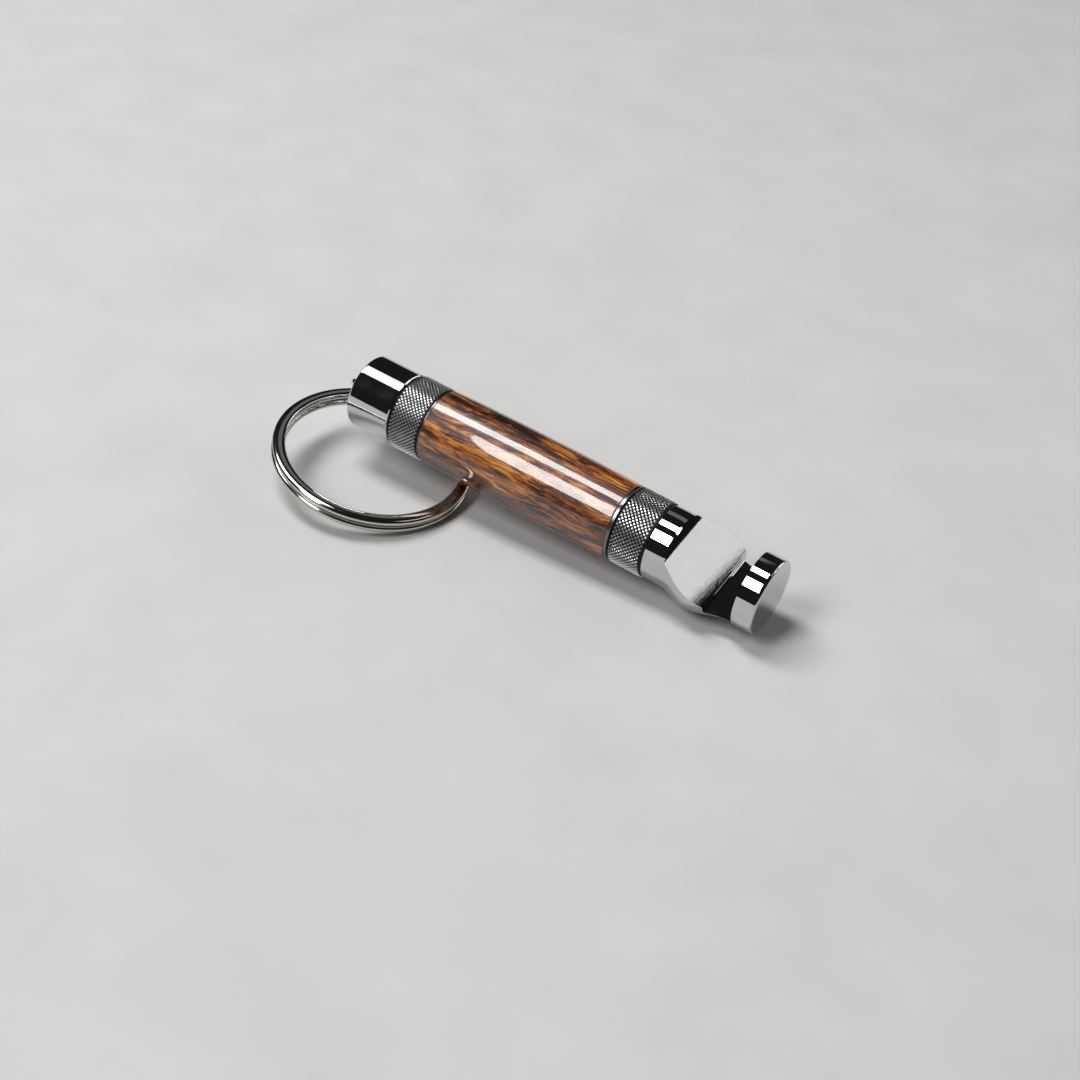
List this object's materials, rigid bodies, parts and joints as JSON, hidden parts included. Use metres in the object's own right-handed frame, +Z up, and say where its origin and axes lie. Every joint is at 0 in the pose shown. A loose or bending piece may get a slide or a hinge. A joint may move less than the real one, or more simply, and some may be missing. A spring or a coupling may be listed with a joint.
{
  "type": "keychain bottle opener",
  "caption": "Pocket bottle opener: a slotted chrome head and end cap on a knurled, turned wooden barrel, with a split key ring on a small wire link.",
  "frame": {"origin": "on the table below the middle of the outline, with the opener as it lies on the table", "axes": "+Z up from the table; +X along the barrel towards the nose, which points 3.2 degrees down; the split ring lies on the -Y side"},
  "size_m": [0.0862, 0.033, 0.0172],
  "materials": {
    "chrome_head": "mirror polished chrome plate",
    "knurled_front": "diamond knurled, chrome plated",
    "trim_front": "smooth, slightly dulled plate",
    "wood": "figured amber and dark brown grain under a high gloss lacquer",
    "brass": "plain drawn tube",
    "trim_rear": "smooth, slightly dulled plate",
    "knurled_rear": "diamond knurled, chrome plated",
    "chrome_cap": "mirror polished chrome plate",
    "eye_steel": "polished steel",
    "link_steel": "polished steel wire",
    "ring_steel": "tumble polished steel"
  },
  "bodies": {
    "opener": {"opener_head": "chrome_head", "front_collar": "knurled_front", "front_trim_ring": "trim_front", "wood_barrel": "wood", "brass_tube": "brass", "rear_trim_ring": "trim_rear", "rear_collar": "knurled_rear", "end_cap": "chrome_cap", "ring_eye": "eye_steel"},
    "link": {"connector_link": "link_steel"},
    "ring": {"split_ring": "ring_steel"}
  },
  "joints": [
    {"name": "link_swing", "type": "hinge", "parent": "opener", "child": "link", "pos_m": [-0.03512, 0.0073, 0.01114], "axis": [-0.4102, 0.6249, 0.6643], "range_deg": [0, 90]},
    {"name": "ring_swing", "type": "hinge", "parent": "link", "child": "ring", "pos_m": [-0.03642, 0.01182, 0.00609], "axis": [0.7532, 0.6428, -0.1396], "range_deg": [0, 180]}
  ]
}
